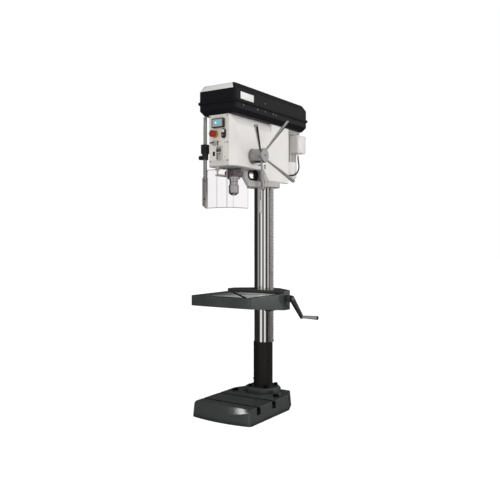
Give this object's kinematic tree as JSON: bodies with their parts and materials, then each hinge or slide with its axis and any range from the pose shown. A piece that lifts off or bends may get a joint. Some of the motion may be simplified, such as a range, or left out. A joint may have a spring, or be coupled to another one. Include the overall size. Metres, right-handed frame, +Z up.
{
  "type": "pillar drill",
  "caption": "Floor-standing pillar drill: round column on a slotted base, rack-lifted table, belt-drive head with feed levers, keyless chuck, guard and hinged cover.",
  "frame": {"origin": "on the floor, on the column's axis", "axes": "+X to the machine's right, +Y to its rear, +Z up; the control panel faces -Y"},
  "size_m": [0.6092, 0.8944, 1.9802],
  "materials": {
    "anthracite_paint": "textured machine enamel",
    "dark_cover_paint": "satin powder coat",
    "white_paint": "satin powder coat",
    "grey_paint": "satin enamel",
    "ground_steel": "ground",
    "machined_steel": "turned",
    "bright_steel": "polished",
    "rack_steel": "oiled",
    "black_oxide": "black oxide",
    "sleeve_black": "smooth black",
    "aluminium": "anodised",
    "black_plastic": "matte",
    "lcd": "lit display",
    "red_plastic": "moulded",
    "yellow_plastic": "moulded",
    "white_plastic": "moulded",
    "clear_plastic": "clear polycarbonate",
    "belt_rubber": "ribbed",
    "cable_rubber": "matte"
  },
  "bodies": {
    "frame": {"base_casting": "anthracite_paint", "levelling_screws": "black_oxide", "column_flange": "anthracite_paint", "flange_screws": "black_oxide", "column_tube": "ground_steel", "lower_sleeve": "sleeve_black", "head_casting": "grey_paint", "lift_hole_trim": "black_plastic", "side_cover_right": "white_paint", "side_cover_left": "white_paint", "spring_cup": "machined_steel", "front_panel": "white_paint", "display_bezel": "black_plastic", "display_screen": "lcd", "readout_module": "black_plastic", "estop_collar": "yellow_plastic", "button_housing": "black_plastic", "belt_tray": "dark_cover_paint", "lid_hinge_base": "black_oxide", "motor_plate": "grey_paint", "motor_body": "grey_paint", "motor_cowl": "grey_paint", "junction_box": "white_paint", "motor_cable": "cable_rubber", "cable_glands": "black_plastic", "drive_belt": "belt_rubber", "guard_switch_box": "black_plastic"},
    "rack": {"rack_bar": "rack_steel"},
    "table": {"table_casting": "anthracite_paint", "gear_cover": "black_oxide"},
    "crank": {"crank_shaft": "machined_steel", "crank_arm": "black_oxide"},
    "crank_grip": {"crank_grip": "bright_steel"},
    "pinion": {"pinion_shaft": "machined_steel"},
    "table_clamp": {"table_clamp": "black_oxide"},
    "quill": {"quill": "ground_steel", "quill_collar": "machined_steel", "depth_rod": "bright_steel"},
    "spindle": {"spindle": "machined_steel", "chuck_body": "machined_steel"},
    "chuck_sleeve": {"chuck_sleeve": "machined_steel"},
    "jaw_1": {"chuck_jaw_1": "machined_steel"},
    "jaw_2": {"chuck_jaw_2": "machined_steel"},
    "jaw_3": {"chuck_jaw_3": "machined_steel"},
    "feed": {"feed_shaft": "machined_steel", "feed_hub": "machined_steel", "feed_levers": "bright_steel"},
    "drive_pulley": {"drive_pulley": "machined_steel"},
    "motor_pulley": {"motor_pulley": "machined_steel"},
    "lid": {"lid": "dark_cover_paint", "lid_hinge_leaves": "black_oxide"},
    "guard_collar": {"guard_collar": "machined_steel"},
    "guard_knob": {"guard_knob": "black_plastic"},
    "guard": {"guard_rod": "aluminium", "guard_channel": "aluminium", "guard_shield": "clear_plastic"},
    "estop": {"estop_button": "red_plastic"},
    "start": {"start_button": "white_plastic"},
    "stop": {"stop_button": "black_plastic"},
    "selector": {"selector_knob": "black_plastic"}
  },
  "joints": [
    {"name": "table_swivel", "type": "hinge", "parent": "frame", "child": "rack", "pos_m": [0, 0, 0.7], "axis": [0, 0, 1], "range_deg": [-60, 60]},
    {"name": "table_lift", "type": "slide", "parent": "rack", "child": "table", "axis": [0, 0, 1], "range_m": [-0.2, 0.38]},
    {"name": "crank_turn", "type": "hinge", "parent": "table", "child": "crank", "pos_m": [0.25, -0.07, 0.704], "axis": [1, 0, 0], "range_deg": [-5090, 9670]},
    {"name": "pinion_turn", "type": "hinge", "parent": "table", "child": "pinion", "pos_m": [0.08765, 0, 0.673], "axis": [0, 1, 0], "range_deg": [-1210, 640]},
    {"name": "crank_grip_spin", "type": "hinge", "parent": "crank", "child": "crank_grip", "pos_m": [0.3, 0.05488, 0.57998], "axis": [1, 0, 0], "continuous": true},
    {"name": "table_clamp_turn", "type": "hinge", "parent": "table", "child": "table_clamp", "pos_m": [-0.2, 0, 0.683], "axis": [1, 0, 0], "range_deg": [-75, 75]},
    {"name": "feed_turn", "type": "hinge", "parent": "frame", "child": "feed", "pos_m": [0.15, -0.28, 1.573], "axis": [1, 0, 0], "range_deg": [0, 458], "stiffness_Nm_per_rad": 0.5, "springref_deg": -515.66},
    {"name": "quill_feed", "type": "slide", "parent": "frame", "child": "quill", "axis": [0, 0, -1], "range_m": [0, 0.16]},
    {"name": "drive_spin", "type": "hinge", "parent": "frame", "child": "drive_pulley", "pos_m": [0, -0.335, 1.83], "axis": [0, 0, 1], "continuous": true},
    {"name": "spindle_spin", "type": "hinge", "parent": "quill", "child": "spindle", "pos_m": [0, -0.335, 1.5], "axis": [0, 0, 1], "continuous": true},
    {"name": "motor_spin", "type": "hinge", "parent": "frame", "child": "motor_pulley", "pos_m": [0, 0.272, 1.83], "axis": [0, 0, 1], "continuous": true},
    {"name": "chuck_sleeve_turn", "type": "hinge", "parent": "spindle", "child": "chuck_sleeve", "pos_m": [0, -0.335, 1.37], "axis": [0, 0, 1], "range_deg": [0, 720]},
    {"name": "jaw_slide_1", "type": "slide", "parent": "spindle", "child": "jaw_1", "axis": [0, 0.2079, 0.9781], "range_m": [0, 0.016]},
    {"name": "jaw_slide_2", "type": "slide", "parent": "spindle", "child": "jaw_2", "axis": [-0.1801, -0.104, 0.9781], "range_m": [0, 0.016]},
    {"name": "jaw_slide_3", "type": "slide", "parent": "spindle", "child": "jaw_3", "axis": [0.1801, -0.104, 0.9781], "range_m": [0, 0.016]},
    {"name": "lid_hinge", "type": "hinge", "parent": "frame", "child": "lid", "pos_m": [-0.15, 0, 1.8756], "axis": [0, -1, 0], "range_deg": [0, 95]},
    {"name": "guard_swing", "type": "hinge", "parent": "frame", "child": "guard_collar", "pos_m": [-0.12, -0.462, 1.56], "axis": [0, 0, 1], "range_deg": [-100, 0]},
    {"name": "guard_height", "type": "slide", "parent": "guard_collar", "child": "guard", "axis": [0, 0, 1], "range_m": [-0.06, 0]},
    {"name": "guard_knob_turn", "type": "hinge", "parent": "guard_collar", "child": "guard_knob", "pos_m": [-0.14, -0.462, 1.562], "axis": [1, 0, 0], "range_deg": [-180, 180]},
    {"name": "estop_push", "type": "slide", "parent": "frame", "child": "estop", "axis": [0, 1, 0], "range_m": [0, 0.006]},
    {"name": "start_push", "type": "slide", "parent": "frame", "child": "start", "axis": [0, 1, 0], "range_m": [0, 0.003], "stiffness_N_per_m": 500, "springref_m": -0.002},
    {"name": "stop_push", "type": "slide", "parent": "frame", "child": "stop", "axis": [0, 1, 0], "range_m": [0, 0.003], "stiffness_N_per_m": 500, "springref_m": -0.002},
    {"name": "selector_turn", "type": "hinge", "parent": "frame", "child": "selector", "pos_m": [-0.029, -0.49, 1.637], "axis": [0, 1, 0], "range_deg": [-45, 45]}
  ],
  "couplings": [
    {"joint": "table_lift", "follows": "crank_turn", "m_per_rad": 0.00225},
    {"joint": "pinion_turn", "follows": "crank_turn", "ratio": -0.125},
    {"joint": "quill_feed", "follows": "feed_turn", "m_per_rad": 0.02},
    {"joint": "spindle_spin", "follows": "drive_spin", "ratio": 1},
    {"joint": "motor_spin", "follows": "drive_spin", "ratio": 1.4977},
    {"joint": "jaw_slide_1", "follows": "chuck_sleeve_turn", "m_per_rad": 0.001273},
    {"joint": "jaw_slide_2", "follows": "chuck_sleeve_turn", "m_per_rad": 0.001273},
    {"joint": "jaw_slide_3", "follows": "chuck_sleeve_turn", "m_per_rad": 0.001273}
  ]
}
